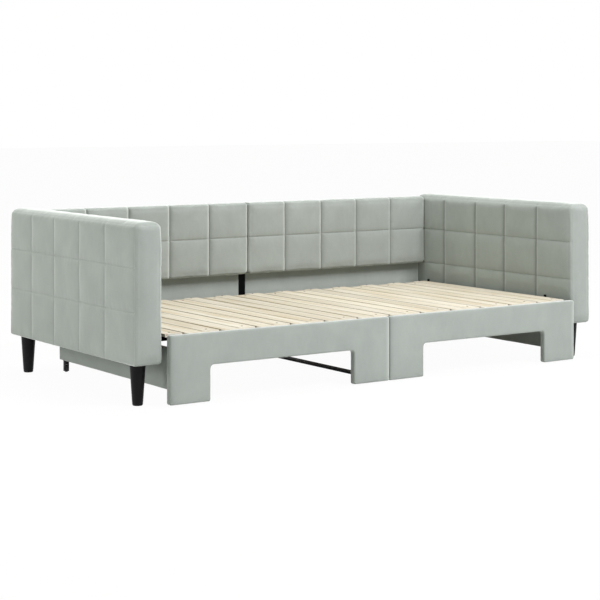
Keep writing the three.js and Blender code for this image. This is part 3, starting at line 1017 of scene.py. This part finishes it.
def arm_brackets(material):
    """Flat brackets from the side rails to the arms. Their rounded tops show above the deck."""
    parts = []
    for side, sign in zip(SIDES, (-1, 1)):
        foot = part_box(f"side_rail_{side}")[1].z - 0.0005
        inner_face = min(abs(c.x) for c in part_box(f"arm_cover_{side}"))
        near, far = sorted((sign * (inner_face - 0.0045), sign * (inner_face - 0.0010)))
        for y in (ARM_FRONT + place for place in BRACKETS):
            upper = (far, y + BRACKET_HALF, DECK_TOP + BRACKET_HALF)
            parts.append(plate((near, y - BRACKET_HALF, foot), upper))
    piece = add_mesh("arm_brackets", *joined(parts), material, "daybed")


def support_welds(material):
    """Beads where the centre support meets the front beam and its own post."""
    low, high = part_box("centre_support")
    front, rear = (corner.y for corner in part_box("front_beam"))
    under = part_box("front_beam")[0].z
    parts = []
    for x in (low.x, high.x):
        parts.append(weld_bead((x, front + 0.004, under), (x, rear - 0.004, under), 0.0024, x))
        z = low.z + 0.010
        parts.append(weld_bead((x, high.y - 0.010, z), (x, high.y - 0.0004, z), 0.0022, 2 + x))
    for y in (rear, front):
        parts.append(weld_bead((low.x + 0.002, y, under), (high.x - 0.002, y, under), 0.0022, y))
    piece = add_mesh("support_welds", *joined(parts), material, "daybed")


def staple(x, y, z, turn):
    """The shape of a staple's back, level at x, y, z and turned about the vertical."""
    profile = [(0.0005, -0.005), (0.0006, -0.0045), (0.0006, 0.0045), (0.0005, 0.005)]
    return turned(profile, (x, y, z), (math.cos(turn), math.sin(turn), 0), 8)


LINING_THICKNESS = 0.0003
LINING_MARGIN = 0.009  # to the arm's sides
LEG_CLEARANCE = 0.012
STAPLE_PITCH = 0.06


def arm_lining(side, sign, material, metal):
    """Black cloth stapled under an arm, between its legs."""
    low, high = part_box(f"arm_cover_{side}")
    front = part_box(f"leg_front_{side}")[1].y + LEG_CLEARANCE
    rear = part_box(f"leg_rear_{side}")[0].y - LEG_CLEARANCE
    xs = np.linspace(low[0] + LINING_MARGIN, high[0] - LINING_MARGIN, 19)
    ys = np.linspace(front, rear, 150)
    level = low[2] - 0.0004
    points, quads = box_lattice(xs, ys, (level - LINING_THICKNESS, level))
    x, y, _ = points.T
    edge = np.minimum(np.minimum(x - xs[0], xs[-1] - x), np.minimum(y - front, rear - y))
    waves = ripples(np.column_stack([x, y, 0 * x]), 0.06, 31 + sign)
    points[:, 2] -= (0.0006 + 0.0003 * waves) * smooth_step(edge / 0.02)
    piece = add_mesh(f"arm_lining_{side}", points, quads, material, "daybed")
    staples = []
    for k, place in enumerate(np.arange(front + 0.012, rear, STAPLE_PITCH)):
        lean = math.pi / 2 + 0.12 * math.sin(5 * k + sign)
        staples += [staple(end, place, level - 0.0006, lean) for end in (xs[0] + 0.006, xs[-1] - 0.006)]
    pins = add_mesh(f"arm_staples_{side}", *joined(staples), metal, "daybed")


def soft_edges(node, width, segments=2):
    """Rounds the edges of a CAD node as it is drawn."""
    weld = node.modifiers.new("weld", "WELD")
    weld.merge_threshold = 0.00001
    bevel = node.modifiers.new("soft_edges", "BEVEL")
    bevel.width = width
    bevel.segments = segments
    bevel.limit_method = "ANGLE"
    bevel.angle_limit = math.radians(35)


# ---- Light and floor ----
def add_area_light(name, place, target, size, power, colour=(1, 1, 1)):
    data = bpy.data.lights.new(name, "AREA")
    data.shape = "DISK"
    data.size = size
    data.energy = power
    data.color = colour
    lamp = add_object(name, data)
    lamp.location = place
    aim = Vector(target) - Vector(place)
    lamp.rotation_euler = aim.to_track_quat("-Z", "Y").to_euler()


def add_world(strength, colour):
    """Light of this colour from all sides, on a white background."""
    world = bpy.data.worlds.new("studio")
    nodes = Nodes(world)
    back = nodes.tree.nodes["Background"].inputs
    direct = nodes.seen_directly()
    nodes.fill(back["Strength"], nodes.spread(direct, strength, 1))
    nodes.fill(back["Color"], nodes.mix((*colour, 1), (1, 1, 1, 1), direct))
    bpy.context.scene.world = world


FLOOR_GLOW = 0.965  # how far the floor shines white of its own, the rest being lit


def add_floor():
    """A pale floor: white as the camera sees it, with the bed's shadow faintly on it."""
    mesh = bpy.data.meshes.new("floor")
    size = 40  # from the middle to each side
    corners = [(-size, -size, 0), (size, -size, 0), (size, size, 0), (-size, size, 0)]
    mesh.from_pydata(corners, [], [(0, 1, 2, 3)])
    floor = add_object("floor", mesh)
    s = Shader("floor")
    s.set(Base_Color="#dededc", Roughness=0.9, Specular_IOR_Level=0.1)
    glow = s.node("ShaderNodeEmission", {"Color": (1, 1, 1, 1), "Strength": 1.0})
    shining = s.product(s.seen_directly(), FLOOR_GLOW)
    parts = {0: shining, 1: s.surface.outputs[0], 2: glow.outputs[0]}
    mixed = s.node("ShaderNodeMixShader", parts).outputs[0]
    s.fill(s.tree.nodes["Material Output"].inputs["Surface"], mixed)
    mesh.materials.append(s.material)


add_camera()
add_world(strength=0.475, colour=(0.975, 1.02, 0.94))
add_floor()
add_area_light("key", (1.2, -4.3, 4.5), (0, 0, 0.3), 1.8, 308, (1.01, 0.98, 1.04))
add_area_light("right", (6.0, -2.0, 4.0), (0, 0, 0.3), 3.0, 55)
add_area_light("top", (0, 0.2, 5.0), (0, 0, 0), 2.5, 120)
add_area_light("left", (-5.5, 0.6, 1.55), (-0.5, 0, 0.4), 1.8, 93)

FINISHES = {
    "velvet": velvet(),
    "slat_wood": pine(),
    "board": raw_board(),
    "black_steel": powder_coat(),
    "black_plastic": black_plastic(),
    "wheel_rubber": rubber(),
}
DAYBED_SLATS = [name for name in frame["nodes"] if name.startswith("slat_")]
TRUNDLE_SLATS = [name for name in frame["nodes"] if name.startswith("trundle_slat_")]
for part in frame["record"]["subparts"]:
    node = frame["nodes"][part["node"]]
    node.data.materials.clear()
    node.data.materials.append(FINISHES[part["material_slot"]])
for name in DAYBED_SLATS + TRUNDLE_SLATS:
    soft_edges(frame["nodes"][name], 0.0010)
for name in ("side_rail_left", "side_rail_right", "front_beam", "rear_rail", "centre_support"):
    soft_edges(frame["nodes"][name], 0.0008)
for name in ("front_ledger", "rear_board"):
    soft_edges(frame["nodes"][name], 0.0006, 1)

cloth, black_cloth, bright_metal = FINISHES["velvet"], lining(), zinc()
for side, sign in zip(SIDES, (-1, 1)):
    arm_cover(side, sign, cloth)
    arm_lining(side, sign, black_cloth, bright_metal)
    back_cushion(side, sign, cloth)
    back_board(side, sign, cloth)
    front_panel(side, sign, cloth)
    side_board(side, sign, cloth)
    for end in ("front", "rear"):
        leg(f"leg_{end}_{side}", FINISHES["black_plastic"])
dark_metal = zinc("dark_zinc", "#4a4038")
slat_screws("slat_screws", DAYBED_SLATS, (0.056, 0.9675), "daybed", dark_metal)
slat_screws("trundle_screws", TRUNDLE_SLATS, (0.906,), "trundle", dark_metal)
arm_brackets(FINISHES["black_steel"])
support_welds(FINISHES["black_steel"])
for end in ("front", "rear"):
    for place in ("left", "middle", "right"):
        caster_fork(f"{end}_{place}", FINISHES["black_plastic"])
        caster_wheel(f"{end}_{place}", FINISHES["wheel_rubber"])

bpy.context.scene.view_settings.view_transform = "Standard"
